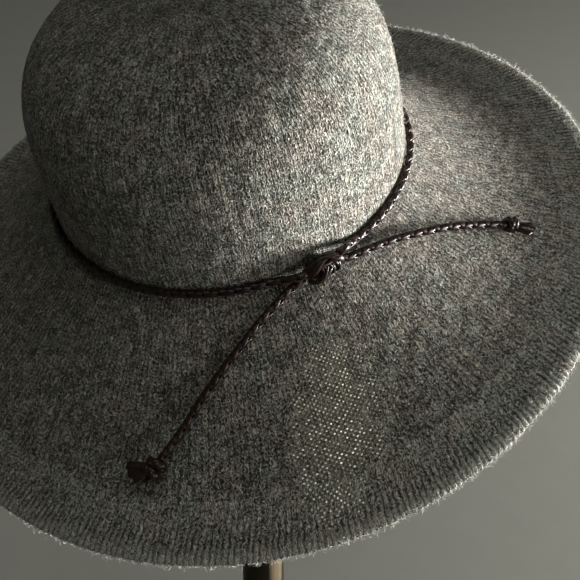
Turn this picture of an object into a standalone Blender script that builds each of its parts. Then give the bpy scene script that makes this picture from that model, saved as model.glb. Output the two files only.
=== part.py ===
"""Wide-brim knitted wool hat with a tied braided cord, resting on a plain stand.

Metres, +Z up. The origin is the middle of the underside of the stand's base,
and the front of the hat looks along -Y. The hat is drawn upright round its own
axis, in hat_seat, and hat_seat leans it the way it settles on the stand.
"""

import math

import bmesh
import bpy
from mathutils import Matrix, Vector

# Hat shell
CROWN_RADIUS = 0.0936
CROWN_HEIGHT = 0.112
CROWN_SHOULDER = 5.4
CROWN_SWELL = 0.0008
SWELL_REACH = 0.02
BRIM_RADIUS = 0.1986
BRIM_DROP = 0.0592
BRIM_BELL = 1.7
BRIM_STRAIGHT_SHARE = 0.25
BRIM_DIP = 0.0136
BRIM_DIP_AZIMUTH = -133.7
BRIM_WAVE = 0.0023
BRIM_WAVE_AZIMUTH = 2.7
FELT_WALL = 0.0025
HEM_WALL = 0.0045
HEM_WIDTH = 0.027
HEM_STEP = 0.002
HEM_ROUNDING = 0.0014
SHELL_SIDES = 60

# How the hat settles on the stand
LEAN = 11.4
LEAN_AZIMUTH = -143.6
CLEARANCE = 0.0003

# Cord
CORD_DIAMETER = 0.0038
BAND_HEIGHT = 0.003
KNOT_AZIMUTH = -61.1
KNOT_HEIGHT = 0.0043
KNOT_TILT = 8.0
KNOT_CORE = 0.0090
KNOT_WRAP_RADIUS = 0.0039
KNOT_WRAP_PITCH = 0.0037
KNOT_ENTRY = 0.0024
LEFT_KNOT_RADIUS = 0.0053
RIGHT_KNOT_RADIUS = 0.0040
STRAND_WIDTH = 0.0026
STRAND_THICKNESS = 0.0010
STRAND_LENGTH = 0.0125
WRAP_SHARE = 0.75
TUBE_STEP = 2.3

# Stand
STAND_HEIGHT = 0.620
BASE_RADIUS = 0.085
BASE_THICKNESS = 0.012
BASE_EDGE = 0.003
POST_RADIUS = 0.015
CAP_RADIUS = 0.040
CAP_THICKNESS = 0.012
CAP_RIM = 0.003
CAP_DOME = 0.0085
STAND_SIDES = 48

# Rows of the crown, from the top down, as angles of its rounded top
DOME_ANGLES = (12, 24, 36, 47, 57, 66, 74, 80)

# Rows of the crown's wall below the dome, as shares of the crown's height
WALL_SHARES = (0.42, 0.30, 0.18, 0.09, 0.03)

# Rows of the brim, as shares of the way from the crown to the hem
BRIM_SHARES = (0.0, 0.04, 0.10, 0.19, 0.30, 0.43, 0.57, 0.72, 0.86)

# Cord routes over the brim: azimuth in degrees round the hat's axis, distance
# from that axis and height of the cord's middle above the brim, in metres
LEFT_TAIL = (
    (-67.2, 0.0988, 0.0056),
    (-69.6, 0.0990, 0.0042),
    (-72.8, 0.1001, 0.0032),
    (-77.0, 0.1032, 0.0028),
    (-81.4, 0.1070, 0.0027),
    (-85.2, 0.1117, 0.0027),
    (-88.5, 0.1165, 0.0028),
    (-91.6, 0.1215, 0.0029),
    (-94.3, 0.1270, 0.0030),
    (-96.8, 0.1328, 0.0032),
    (-98.8, 0.1390, 0.0035),
    (-100.6, 0.1452, 0.0041),
    (-102.3, 0.1516, 0.0052),
    (-104.1, 0.1588, 0.0066),
)
RIGHT_TAIL = (
    (-54.9, 0.0990, 0.0056),
    (-52.4, 0.0994, 0.0046),
    (-49.2, 0.1002, 0.0043),
    (-45.2, 0.1018, 0.0045),
    (-41.0, 0.1041, 0.0048),
    (-37.0, 0.1070, 0.0051),
    (-33.2, 0.1106, 0.0054),
    (-29.7, 0.1147, 0.0056),
    (-26.3, 0.1193, 0.0057),
    (-23.3, 0.1244, 0.0056),
    (-20.7, 0.1301, 0.0053),
    (-18.4, 0.1362, 0.0050),
    (-16.0, 0.1448, 0.0049),
)

# Cut strands beyond each end knot: swing from the cord's line in degrees, rise
# from the brim in degrees, and length as a share of STRAND_LENGTH
LEFT_STRANDS = (
    (-60.0, 10.0, 1.12),
    (-40.0, 14.0, 1.04),
    (-21.0, 12.0, 0.92),
    (19.0, 9.0, 0.66),
)
RIGHT_STRANDS = (
    (-5.0, 12.0, 1.08),
    (-17.0, 17.0, 1.00),
    (-29.0, 12.0, 0.90),
    (-41.0, 16.0, 0.80),
)


def clear_scene():
    for item in list(bpy.data.objects):
        bpy.data.objects.remove(item, do_unlink=True)


def new_collection(name):
    collection = bpy.data.collections.new(name)
    bpy.context.scene.collection.children.link(collection)
    return collection


def make_material(name, colour, roughness, metallic=0.0):
    material = bpy.data.materials.new(name)
    material.use_nodes = True
    shader = material.node_tree.nodes["Principled BSDF"]
    shader.inputs["Base Color"].default_value = (*colour, 1.0)
    shader.inputs["Roughness"].default_value = roughness
    shader.inputs["Metallic"].default_value = metallic
    return material


def add_mesh_object(name, mesh, material, collection, parent=None):
    mesh.materials.clear()
    mesh.materials.append(material)
    piece = bpy.data.objects.new(name, mesh)
    collection.objects.link(piece)
    piece.parent = parent
    return piece


def shade_round(mesh):
    mesh.shade_smooth()
    mesh.set_sharp_from_angle(angle=math.radians(40))


def crown_wall_radius(height):
    """Outer radius of the crown at a height above the brim."""
    swell = CROWN_SWELL * (1 - math.exp(-height / SWELL_REACH))
    rounding = max(0.0, 1 - (height / CROWN_HEIGHT) ** CROWN_SHOULDER)
    return (CROWN_RADIUS + swell) * math.sqrt(rounding)


def brim_height(radius, azimuth):
    """Height of the brim's upper face, from where the brim meets the crown."""
    share = (radius - CROWN_RADIUS) / (BRIM_RADIUS - CROWN_RADIUS)
    share = min(max(share, 0.0), 1.0)
    bell = 1 - (1 - share) ** BRIM_BELL
    fall = (1 - BRIM_STRAIGHT_SHARE) * bell + BRIM_STRAIGHT_SHARE * share
    dip = BRIM_DIP * math.cos(math.radians(azimuth - BRIM_DIP_AZIMUTH))
    wave = BRIM_WAVE * math.cos(2 * math.radians(azimuth - BRIM_WAVE_AZIMUTH))
    return -BRIM_DROP * fall + (wave - dip) * share ** 1.5


def crown_rows():
    """Radius and height of each row of the crown, from near its top down."""
    rows = []
    for angle in DOME_ANGLES:
        height = CROWN_HEIGHT * math.cos(math.radians(angle)) ** (2 / CROWN_SHOULDER)
        rows.append((crown_wall_radius(height), height))
    for share in WALL_SHARES:
        height = CROWN_HEIGHT * share
        rows.append((crown_wall_radius(height), height))
    return rows


def brim_radii():
    """Radius of each row of the brim, with the turned hem's step and edge last."""
    hem_start = BRIM_RADIUS - HEM_WIDTH
    shares = [CROWN_RADIUS + share * (hem_start - CROWN_RADIUS) for share in BRIM_SHARES]
    hem = [hem_start, hem_start + HEM_STEP]
    hem += [hem_start + HEM_WIDTH * share for share in (0.40, 0.75, 1.0)]
    return shares + hem


def build_hat_body(material, collection, seat):
    """Crown and brim as one open surface, given its wall and its thicker hem."""
    form = bmesh.new()
    turn = [math.radians(360 * side / SHELL_SIDES) for side in range(SHELL_SIDES)]
    rings = []
    for radius, height in crown_rows():
        rings.append([form.verts.new((radius * math.cos(t), radius * math.sin(t), height)) for t in turn])
    for radius in brim_radii():
        ring = []
        for t in turn:
            height = brim_height(radius, math.degrees(t))
            ring.append(form.verts.new((radius * math.cos(t), radius * math.sin(t), height)))
        rings.append(ring)
    top = form.verts.new((0, 0, CROWN_HEIGHT))
    for side in range(SHELL_SIDES):
        form.faces.new((top, rings[0][side], rings[0][(side + 1) % SHELL_SIDES]))
    for upper, lower in zip(rings, rings[1:]):
        for side in range(SHELL_SIDES):
            after = (side + 1) % SHELL_SIDES
            form.faces.new((upper[side], lower[side], lower[after], upper[after]))
    mesh = bpy.data.meshes.new("hat_body")
    form.to_mesh(mesh)
    form.free()
    shade_round(mesh)
    piece = add_mesh_object("hat_body", mesh, material, collection, seat)
    single = piece.vertex_groups.new(name="wall")
    hem_start = BRIM_RADIUS - HEM_WIDTH + HEM_STEP / 2
    for vertex in mesh.vertices:
        reach = math.hypot(vertex.co.x, vertex.co.y)
        share = 1.0 if reach > hem_start else FELT_WALL / HEM_WALL
        single.add([vertex.index], share, "REPLACE")
    wall = piece.modifiers.new("wall", "SOLIDIFY")
    wall.thickness = HEM_WALL
    wall.offset = -1
    wall.use_even_offset = True
    wall.vertex_group = single.name
    edge = piece.modifiers.new("edge", "BEVEL")
    edge.width = HEM_ROUNDING
    edge.segments = 2
    edge.limit_method = "ANGLE"
    edge.angle_limit = math.radians(60)
    return piece


def seat_of_hat():
    """Where the leaning hat's axis meets its brim line, above the post's axis."""
    lean = math.radians(LEAN)
    best = None
    for step in range(1, 900):
        angle = math.radians(step / 10)
        height = CROWN_HEIGHT * math.cos(angle) ** (2 / CROWN_SHOULDER)
        radius = crown_wall_radius(height)
        rise = height * math.cos(lean) + radius * math.sin(lean)
        if best is None or rise > best[0]:
            best = (rise, radius * math.cos(lean) - height * math.sin(lean))
    rise, reach = best
    toward = math.radians(LEAN_AZIMUTH)
    drop = rise - FELT_WALL - CLEARANCE
    return Vector((reach * math.cos(toward), reach * math.sin(toward), STAND_HEIGHT - drop))


def build_hat_seat(collection):
    seat = bpy.data.objects.new("hat_seat", None)
    collection.objects.link(seat)
    toward = math.radians(LEAN_AZIMUTH)
    axis = Vector((-math.sin(toward), math.cos(toward), 0))
    seat.rotation_mode = "AXIS_ANGLE"
    seat.rotation_axis_angle = (math.radians(LEAN), *axis)
    seat.location = seat_of_hat()
    return seat


def polar(azimuth, radius, height):
    turn = math.radians(azimuth)
    return Vector((radius * math.cos(turn), radius * math.sin(turn), height))


def on_brim(route):
    return [polar(az, radius, brim_height(radius, az) + lift) for az, radius, lift in route]


def smooth_curve(points, spacing):
    """Points at even steps along a smooth curve through the route's own points."""
    ends = [2 * points[0] - points[1], *points, 2 * points[-1] - points[-2]]
    fine = []
    for a, b, c, d in zip(ends, ends[1:], ends[2:], ends[3:]):
        for step in range(20):
            t = step / 20
            fine.append(0.5 * (2 * b + (c - a) * t + (2 * a - 5 * b + 4 * c - d) * t**2
                               + (3 * b - a - 3 * c + d) * t**3))
    fine.append(points[-1])
    lengths = [0.0]
    for before, after in zip(fine, fine[1:]):
        lengths.append(lengths[-1] + (after - before).length)
    count = max(2, round(lengths[-1] / spacing))
    curve, place = [], 0
    for step in range(count + 1):
        goal = lengths[-1] * step / count
        while place < len(fine) - 2 and lengths[place + 1] < goal:
            place += 1
        span = lengths[place + 1] - lengths[place]
        curve.append(fine[place].lerp(fine[place + 1], min(1.0, (goal - lengths[place]) / span)))
    return curve


def add_tube(name, points, diameter, material, collection, seat):
    curve = bpy.data.curves.new(name, "CURVE")
    curve.dimensions = "3D"
    curve.bevel_depth = diameter / 2
    curve.bevel_resolution = 2
    curve.use_fill_caps = True
    spline = curve.splines.new("POLY")
    spline.points.add(len(points) - 1)
    for slot, point in zip(spline.points, points):
        slot.co = (*point, 1)
    curve.materials.append(material)
    piece = bpy.data.objects.new(name, curve)
    collection.objects.link(piece)
    piece.parent = seat
    return piece


def knot_radius():
    """Distance from the hat's axis to the middle of the knot, wraps against the wall."""
    return crown_wall_radius(KNOT_HEIGHT) + CLEARANCE + KNOT_WRAP_RADIUS + CORD_DIAMETER / 2


def knot_frame():
    """The knot's own axes: X along the band, Y inwards, Z up, at the knot's middle."""
    turn = Matrix.Rotation(math.radians(KNOT_AZIMUTH + 90), 4, "Z")
    tilt = Matrix.Rotation(math.radians(-KNOT_TILT), 4, "Y")
    return Matrix.Translation(polar(KNOT_AZIMUTH, knot_radius(), KNOT_HEIGHT)) @ turn @ tilt


def build_band(material, collection, seat):
    """The cord round the crown, from one end of the knot to the other."""
    wrap = crown_wall_radius(BAND_HEIGHT) + CLEARANCE + CORD_DIAMETER / 2
    frame = knot_frame()
    near = KNOT_CORE + CLEARANCE
    run = 2 * CORD_DIAMETER
    right = [frame @ Vector((near + step * run / 2, 0, KNOT_ENTRY)) for step in range(2)]
    left = [frame @ Vector((-near - step * run / 2, 0, KNOT_ENTRY)) for step in range(2)]
    swing = math.degrees((near + 1.9 * run) / wrap)
    first, last = KNOT_AZIMUTH + swing, KNOT_AZIMUTH - swing + 360
    turns = 36
    round_crown = [polar(first + (last - first) * step / turns, wrap, BAND_HEIGHT)
                   for step in range(turns + 1)]
    route = right + round_crown + left[::-1]
    return add_tube("cord_band", smooth_curve(route, TUBE_STEP * CORD_DIAMETER),
                    CORD_DIAMETER, material, collection, seat)


def fuse(name, shapes, matrix, material, collection, seat):
    """Join the shapes' meshes into one body by Boolean union, and place it."""
    body = shapes[0]
    for other in shapes[1:]:
        union = body.modifiers.new("union", "BOOLEAN")
        union.operation = "UNION"
        union.object = other
    bpy.context.view_layer.update()
    evaluated = body.evaluated_get(bpy.context.evaluated_depsgraph_get())
    mesh = bpy.data.meshes.new_from_object(evaluated)
    for shape in shapes:
        bpy.data.objects.remove(shape, do_unlink=True)
    mesh.name = name
    shade_round(mesh)
    piece = add_mesh_object(name, mesh, material, collection, seat)
    piece.matrix_local = matrix
    return piece


def add_ball(half_sizes, rings):
    bpy.ops.mesh.primitive_uv_sphere_add(segments=2 * rings, ring_count=rings)
    ball = bpy.context.object
    ball.data.transform(Matrix.Diagonal((*half_sizes, 1)))
    return ball


def add_wrap(radius, thickness, centre, tilt):
    """One turn of cord round the X axis, tipped by tilt degrees about Z."""
    bpy.ops.mesh.primitive_torus_add(major_segments=16, minor_segments=8,
                                     major_radius=radius, minor_radius=thickness / 2)
    wrap = bpy.context.object
    upright = Matrix.Rotation(math.radians(90), 4, "Y")
    tip = Matrix.Rotation(math.radians(tilt), 4, "Z")
    wrap.data.transform(Matrix.Translation(centre) @ tip @ upright)
    return wrap


def build_knot(material, collection, seat):
    """The knot that ties the band: three turns of cord over a packed core."""
    core = (KNOT_CORE, KNOT_WRAP_RADIUS + CORD_DIAMETER * 0.2, KNOT_WRAP_RADIUS + CORD_DIAMETER * 0.3)
    shapes = [add_ball(core, 7)]
    for place, tilt in ((-1, 16.0), (0, -18.0), (1, 16.0)):
        centre = Vector((place * KNOT_WRAP_PITCH, 0, 0))
        shapes.append(add_wrap(KNOT_WRAP_RADIUS, CORD_DIAMETER, centre, tilt))
    return fuse("cord_knot", shapes, knot_frame(), material, collection, seat)


def end_frame(points, lift):
    """Axes at a cord's free end: X along the cord, Z up off the brim."""
    along = (points[-1] - points[-2]).normalized()
    side = Vector((0, 0, 1)).cross(along).normalized()
    up = along.cross(side)
    start = points[-1] + along * lift
    frame = Matrix((along, side, up)).transposed().to_4x4()
    return Matrix.Translation(start) @ frame


def build_end_knot(name, tail, radius, strands, material, collection, seat):
    """A stopper knot of two turns of cord, with the cut strands splayed beyond it."""
    thickness = radius * WRAP_SHARE
    core = radius - thickness / 4
    shapes = [add_ball((core, core, core), 7)]
    for place, tilt in ((-1, 14.0), (1, -14.0)):
        centre = Vector((place * thickness * 0.45, 0, 0))
        shapes.append(add_wrap(radius - thickness / 2, thickness, centre, tilt))
    for swing, rise, share in strands:
        length = STRAND_LENGTH * share
        bpy.ops.mesh.primitive_cube_add(size=1)
        strand = bpy.context.object
        flat = Matrix.Diagonal((length, STRAND_WIDTH, STRAND_THICKNESS, 1))
        shape = Matrix.Translation((length / 2, 0, 0)) @ flat
        swung = Matrix.Rotation(math.radians(swing), 4, "Z") @ Matrix.Rotation(math.radians(-rise), 4, "Y")
        strand.data.transform(swung @ shape)
        shapes.append(strand)
    frame = end_frame(tail, core + CLEARANCE)
    return fuse(name, shapes, frame, material, collection, seat)


def build_tails(material, collection, seat):
    """Both free ends of the cord, lying on the brim, each with its stopper knot."""
    ends = (
        ("left", LEFT_TAIL, LEFT_KNOT_RADIUS, LEFT_STRANDS),
        ("right", RIGHT_TAIL, RIGHT_KNOT_RADIUS, RIGHT_STRANDS),
    )
    for side, route, radius, strands in ends:
        points = smooth_curve(on_brim(route), TUBE_STEP * CORD_DIAMETER)
        add_tube(f"cord_tail_{side}", points, CORD_DIAMETER, material, collection, seat)
        build_end_knot(f"end_knot_{side}", points, radius, strands, material, collection, seat)


def add_turned(name, profile, material, collection):
    """A solid turned from a profile that runs down its outer side, top to bottom."""
    mesh = bpy.data.meshes.new(name)
    points = [(radius, 0, height) for radius, height in profile]
    mesh.from_pydata(points, [(step, step + 1) for step in range(len(points) - 1)], [])
    piece = add_mesh_object(name, mesh, material, collection)
    turned = piece.modifiers.new("turned", "SCREW")
    turned.axis = "Z"
    turned.steps = STAND_SIDES
    turned.render_steps = STAND_SIDES
    turned.use_merge_vertices = True
    turned.merge_threshold = 0.00001
    turned.use_smooth_shade = True
    return piece


def rounded_corner(radius, height, rounding, first, last):
    """Three points of a rounded edge, from angle first to angle last in degrees."""
    angles = [math.radians(first + (last - first) * step / 2) for step in range(3)]
    return [(radius - rounding + rounding * math.cos(t), height + rounding * math.sin(t)) for t in angles]


def build_stand(material, collection):
    """Weighted round base, straight post and a low domed cap inside the crown."""
    base = [(0, BASE_THICKNESS)]
    base += rounded_corner(BASE_RADIUS, BASE_THICKNESS - BASE_EDGE, BASE_EDGE, 90, 0)
    base += [(BASE_RADIUS, 0), (0, 0)]
    add_turned("stand_base", base, material, collection)

    cap_top = STAND_HEIGHT - CAP_DOME
    cap_bottom = cap_top - CAP_THICKNESS
    post_top = cap_bottom - CLEARANCE
    post_bottom = BASE_THICKNESS + CLEARANCE
    post = [(0, post_top), (POST_RADIUS, post_top), (POST_RADIUS, post_bottom), (0, post_bottom)]
    add_turned("stand_post", post, material, collection)

    cap = [(0, STAND_HEIGHT)]
    for share in (0.3, 0.6, 0.85):
        cap.append((CAP_RADIUS * share, STAND_HEIGHT - CAP_DOME * share**2))
    cap += [(CAP_RADIUS, cap_top - CAP_RIM), (CAP_RADIUS, cap_bottom), (0, cap_bottom)]
    add_turned("stand_cap", cap, material, collection)


def build():
    clear_scene()
    collection = new_collection("wide_brim_hat")
    wool = make_material("grey_wool_knit", (0.17, 0.165, 0.145), 0.95)
    leather = make_material("brown_braided_leather", (0.025, 0.014, 0.011), 0.38)
    bronze = make_material("aged_bronze", (0.20, 0.15, 0.09), 0.35, 1.0)
    build_stand(bronze, collection)
    seat = build_hat_seat(collection)
    build_hat_body(wool, collection, seat)
    build_band(leather, collection, seat)
    build_knot(leather, collection, seat)
    build_tails(leather, collection, seat)


build()
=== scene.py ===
"""Looks of a wide-brim knitted wool hat with a tied braided cord, on its stand."""

import math

import bpy
import numpy as np
from mathutils import Matrix, Vector


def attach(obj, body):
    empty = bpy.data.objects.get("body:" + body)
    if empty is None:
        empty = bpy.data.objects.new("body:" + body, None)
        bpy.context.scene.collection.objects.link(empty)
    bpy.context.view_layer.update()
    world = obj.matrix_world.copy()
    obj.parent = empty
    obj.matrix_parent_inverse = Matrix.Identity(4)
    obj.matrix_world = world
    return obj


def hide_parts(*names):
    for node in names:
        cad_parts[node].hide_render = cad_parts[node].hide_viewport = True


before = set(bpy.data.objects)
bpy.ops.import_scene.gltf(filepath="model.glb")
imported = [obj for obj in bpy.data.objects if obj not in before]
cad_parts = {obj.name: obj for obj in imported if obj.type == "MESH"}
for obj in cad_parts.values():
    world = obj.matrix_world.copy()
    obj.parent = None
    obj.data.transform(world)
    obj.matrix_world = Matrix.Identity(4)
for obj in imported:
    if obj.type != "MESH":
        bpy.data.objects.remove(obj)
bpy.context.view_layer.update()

# Camera. It stands in front of the hat and looks down on it by 40 degrees, level,
# through a short telephoto lens: its focal length is 1200 pixels of a frame of 580.
CAMERA_PLACE = (0.01956, -0.53972, 0.86728)
CAMERA_DOWN = 40.0
FOCAL_PIXELS, FRAME_PIXELS = 1200.0, 580.0

camera_data = bpy.data.cameras.new("camera")
camera_data.sensor_width = 36.0
camera_data.lens = camera_data.sensor_width * FOCAL_PIXELS / FRAME_PIXELS
camera_data.clip_start = 0.02
camera = bpy.data.objects.new("camera", camera_data)
camera.location = CAMERA_PLACE
camera.rotation_euler = (math.radians(90.0 - CAMERA_DOWN), 0.0, 0.0)
bpy.context.scene.collection.objects.link(camera)
bpy.context.scene.camera = camera
bpy.context.scene.view_settings.view_transform = "Standard"

# The hat's form. Crown and brim are knitted in one piece, shrunk to a thick soft
# wool cloth and shaped over a block. The hat leans on the stand, so its pieces are
# drawn round its own upright axis and placed by the seat.
HAT_SEAT = (-0.01244, -0.00917, 0.50903)
LEAN, LEAN_AZIMUTH = math.radians(11.4), math.radians(-143.6)
CROWN_RADIUS, CROWN_HEIGHT, CROWN_SHOULDER = 0.0936, 0.112, 5.4
CROWN_SWELL, SWELL_REACH = 0.0008, 0.02
BRIM_RADIUS, BRIM_DROP, BRIM_BELL, BRIM_STRAIGHT = 0.1986, 0.0592, 1.7, 0.25
BRIM_DIP, BRIM_DIP_AZIMUTH = 0.0136, math.radians(-133.7)
BRIM_WAVE, BRIM_WAVE_AZIMUTH = 0.0023, math.radians(2.7)
WALL, HEM_WALL, HEM_WIDTH = 0.0025, 0.0045, 0.027
SIDE_MARGIN, STRIP_MARGIN = 0.004, 0.02

lean_axis = Vector((-math.sin(LEAN_AZIMUTH), math.cos(LEAN_AZIMUTH), 0.0))
seat = Matrix.Translation(HAT_SEAT) @ Matrix.Rotation(LEAN, 4, lean_axis)


def crown_radius(height):
    """Outer radius of the crown at a height over the brim."""
    swell = CROWN_SWELL * (1 - np.exp(-height / SWELL_REACH))
    rounding = np.maximum(0.0, 1 - np.maximum(height / CROWN_HEIGHT, 0.0) ** CROWN_SHOULDER)
    return (CROWN_RADIUS + swell) * np.sqrt(rounding)


def brim_height(radius, turn):
    """Height of the brim's upper face, from the line where it meets the crown."""
    share = np.clip((radius - CROWN_RADIUS) / (BRIM_RADIUS - CROWN_RADIUS), 0.0, 1.0)
    fall = (1 - BRIM_STRAIGHT) * (1 - (1 - share) ** BRIM_BELL) + BRIM_STRAIGHT * share
    dip = BRIM_DIP * np.cos(turn - BRIM_DIP_AZIMUTH)
    wave = BRIM_WAVE * np.cos(2 * (turn - BRIM_WAVE_AZIMUTH))
    return -BRIM_DROP * fall + (wave - dip) * share ** 1.5


def brim_slope(radius, turn, step=0.0001):
    """How steeply the brim's upper face rises outwards, and its length on each metre."""
    rise = brim_height(radius + step, turn) - brim_height(radius - step, turn)
    slope = rise / (2 * step)
    return slope, np.sqrt(1 + slope ** 2)


def polar(turn, radius, height):
    """Points from angle, radius and height round the hat's axis."""
    return np.stack(np.broadcast_arrays(radius * np.cos(turn), radius * np.sin(turn), height), -1)


def even_steps(points, count):
    """The same line with count points at even distances."""
    run = np.concatenate([[0], np.cumsum(np.linalg.norm(np.diff(points, axis=0), axis=1))])
    places = np.linspace(0, run[-1], count)
    return np.stack([np.interp(places, run, axis) for axis in points.T], 1)


def wander(points, size, seed, waves=14):
    """Soft uneven swells of about one size over the points, between about -1 and 1."""
    rng = np.random.default_rng(seed)
    ways = rng.normal(size=(waves, 3))
    ways *= (rng.uniform(0.6, 1.6, waves) / size / np.linalg.norm(ways, axis=1))[:, None]
    starts = rng.uniform(0, 1, waves)
    total = sum(np.sin(2 * math.pi * (points @ way + start)) for way, start in zip(ways, starts))
    return total / math.sqrt(waves)


def outward(grid):
    """Unit normals of a grid of points that closes round its columns."""
    across = np.roll(grid, -1, axis=1) - np.roll(grid, 1, axis=1)
    along = np.gradient(grid, axis=0)
    normal = np.cross(along, across)
    return normal / np.maximum(np.linalg.norm(normal, axis=2, keepdims=True), 1e-12)


def moved_by(matrix, points):
    """Points through a 4 by 4 matrix."""
    matrix = np.array(matrix)
    return points @ matrix[:3, :3].T + matrix[:3, 3]


def dress(name, points, faces, material, slot, nodes, matrix=seat):
    """A mesh piece with one material that stands for some of the model's nodes."""
    points = moved_by(matrix, points)
    mesh = bpy.data.meshes.new(name)
    mesh.vertices.add(len(points))
    mesh.vertices.foreach_set("co", points.astype(np.float32).ravel())
    sides = faces.shape[1]
    mesh.loops.add(faces.size)
    mesh.loops.foreach_set("vertex_index", faces.astype(np.int32).ravel())
    mesh.polygons.add(len(faces))
    mesh.polygons.foreach_set("loop_start", np.arange(0, faces.size, sides, dtype=np.int32))
    mesh.polygons.foreach_set("loop_total", np.full(len(faces), sides, np.int32))
    mesh.update(calc_edges=True)
    mesh.shade_smooth()
    mesh.materials.append(material)
    piece = bpy.data.objects.new(name, mesh)
    bpy.context.scene.collection.objects.link(piece)
    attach(piece, "root")
    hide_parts(*nodes)
    return piece


def knit_cloth(name, grid, wales, courses, material, strips=4, slant=0.0):
    """A ring of cloth from rows of points, with its rows of stitches as coordinates."""
    rows, columns = grid.shape[:2]
    row, column = np.meshgrid(np.arange(rows - 1), np.arange(columns), indexing="ij")
    after = (column + 1) % columns
    faces = np.stack([row * columns + column, (row + 1) * columns + column,
                      (row + 1) * columns + after, row * columns + after], -1).reshape(-1, 4)
    piece = dress(name, grid.reshape(-1, 3), faces, material, "wool", ["hat_body"])
    corner_column = np.stack([column, column, column + 1, column + 1], -1)
    corner_row = np.stack([row, row + 1, row + 1, row], -1)
    length = np.linalg.norm(np.diff(grid, axis=0), axis=2).mean(1)
    run = np.concatenate([[0], np.cumsum(length)]) / courses
    stitches = np.stack([corner_column * wales / columns + slant * corner_row, run[corner_row]], -1)
    layer = piece.data.uv_layers.new(name="stitches")
    layer.uv.foreach_set("vector", stitches.astype(np.float32).ravel())

    # For baking, the ring is cut into strips that lie flat, one above the other.
    width = columns / strips
    strip = np.floor(column / width)[..., None]
    across = (corner_column - strip * width) / width
    along = corner_row / (rows - 1)
    flat = np.stack([SIDE_MARGIN + (1 - 2 * SIDE_MARGIN) * across,
                     (strip + STRIP_MARGIN + (1 - 2 * STRIP_MARGIN) * along) / strips], -1)
    layer = piece.data.uv_layers.new(name="OFBake")
    layer.uv.foreach_set("vector", flat.astype(np.float32).ravel())
    return piece


class Wire:
    """An output of a material's node. Sums written with it become Math nodes."""

    def __init__(self, tree, socket=None):
        self.tree, self.socket = tree, socket

    def node(self, kind, settings=None, inputs=None, output=0):
        """A new node: its settings first, then a value or a link for each input."""
        made = self.tree.nodes.new("ShaderNode" + kind)
        for name, value in (settings or {}).items():
            setattr(made, name, value)
        for place, value in (inputs or {}).items():
            if isinstance(value, Wire):
                self.tree.links.new(value.socket, made.inputs[place])
            else:
                made.inputs[place].default_value = value
        return Wire(self.tree, made.outputs[output])

    def also(self, output):
        """Another output of the same node."""
        return Wire(self.tree, self.socket.node.outputs[output])

    def math(self, operation, *values, clamp=False):
        return self.node("Math", {"operation": operation, "use_clamp": clamp}, dict(enumerate(values)))

    def vector(self, operation, first, second=None, output=0):
        inputs = {0: first} if second is None else {0: first, 1: second}
        return self.node("VectorMath", {"operation": operation}, inputs, output)

    def __add__(self, other):
        return self.math("ADD", self, other)

    __radd__ = __add__

    def __sub__(self, other):
        return self.math("SUBTRACT", self, other)

    def __rsub__(self, other):
        return self.math("SUBTRACT", other, self)

    def __mul__(self, other):
        return self.math("MULTIPLY", self, other)

    __rmul__ = __mul__

    def __pow__(self, other):
        return self.math("POWER", self, other)

    def __abs__(self):
        return self.math("ABSOLUTE", self)

    def limited(self):
        """The value held between 0 and 1."""
        return self.math("ADD", self, 0.0, clamp=True)

    def sine(self):
        return self.math("SINE", self)

    def root(self):
        return self.math("SQRT", self)

    def wave(self):
        """1 at the middle of each whole step of the value and 0 at its ends."""
        return abs((self * math.pi).sine())

    def noise(self, place, scale, detail=2.0, roughness=0.5, output=0):
        inputs = {"Vector": place, "Scale": scale, "Detail": detail, "Roughness": roughness}
        return self.node("TexNoise", {"noise_dimensions": "3D"}, inputs, output)

    def moved(self, place, by, amount):
        """The place shifted by a colour's distance from grey, times amount."""
        level = self.vector("SUBTRACT", by, (0.5, 0.5, 0.5))
        grown = self.vector("MULTIPLY", level, (amount, amount, amount))
        return self.vector("ADD", place, grown)

    def mixed(self, factor, low, high):
        """The low colour at a factor of 0 and the high colour at 1."""
        settings = {"data_type": "RGBA", "clamp_factor": True}
        return self.node("Mix", settings, {0: factor, 6: low, 7: high}, output=2)


def new_material(name, roughness=0.5, specular=0.5):
    """A material with its shader, and the wire that its other nodes start from."""
    material = bpy.data.materials.new(name)
    material.use_nodes = True
    shader = material.node_tree.nodes["Principled BSDF"]
    shader.inputs["Roughness"].default_value = roughness
    shader.inputs["Specular IOR Level"].default_value = specular
    return material, shader, Wire(material.node_tree)


def drive(wire, shader, **values):
    """Links wires to the shader's sockets, named with _ for a space."""
    for name, value in values.items():
        wire.tree.links.new(value.socket, shader.inputs[name.replace("_", " ")])


# The wool. A dark grey yarn with lighter and browner fibres carded in, knitted in
# plain rows, then shrunk until the stitches close up under a short curly nap.
WOOL_DARK = (0.040, 0.038, 0.031, 1)
WOOL_GREEN, WOOL_BROWN = (0.76, 0.775, 0.695, 1), (0.82, 0.75, 0.665, 1)
MOTTLE_SIZE, CLOUD_SIZE, BEND_SIZE, CURL_SIZE = 0.015, 0.006, 0.005, 0.0032
FIBRE_SIZE, HAIR_SIZE, PEPPER_SIZE, FIBRE_SHARPNESS = 0.0018, 0.0030, 0.0012, 9.5
STITCH_BEND, COLUMN_BEND, HOLE_BEND, FIBRE_CURL, HAIR_CURL = 1.5, 0.9, 0.16, 0.0034, 0.0020
WOOL_SHEEN, WOOL_SHEEN_ROUGHNESS, WOOL_BUMP, WOOL_BUMP_DEPTH = 0.20, 0.45, 0.9, 0.0013

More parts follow.
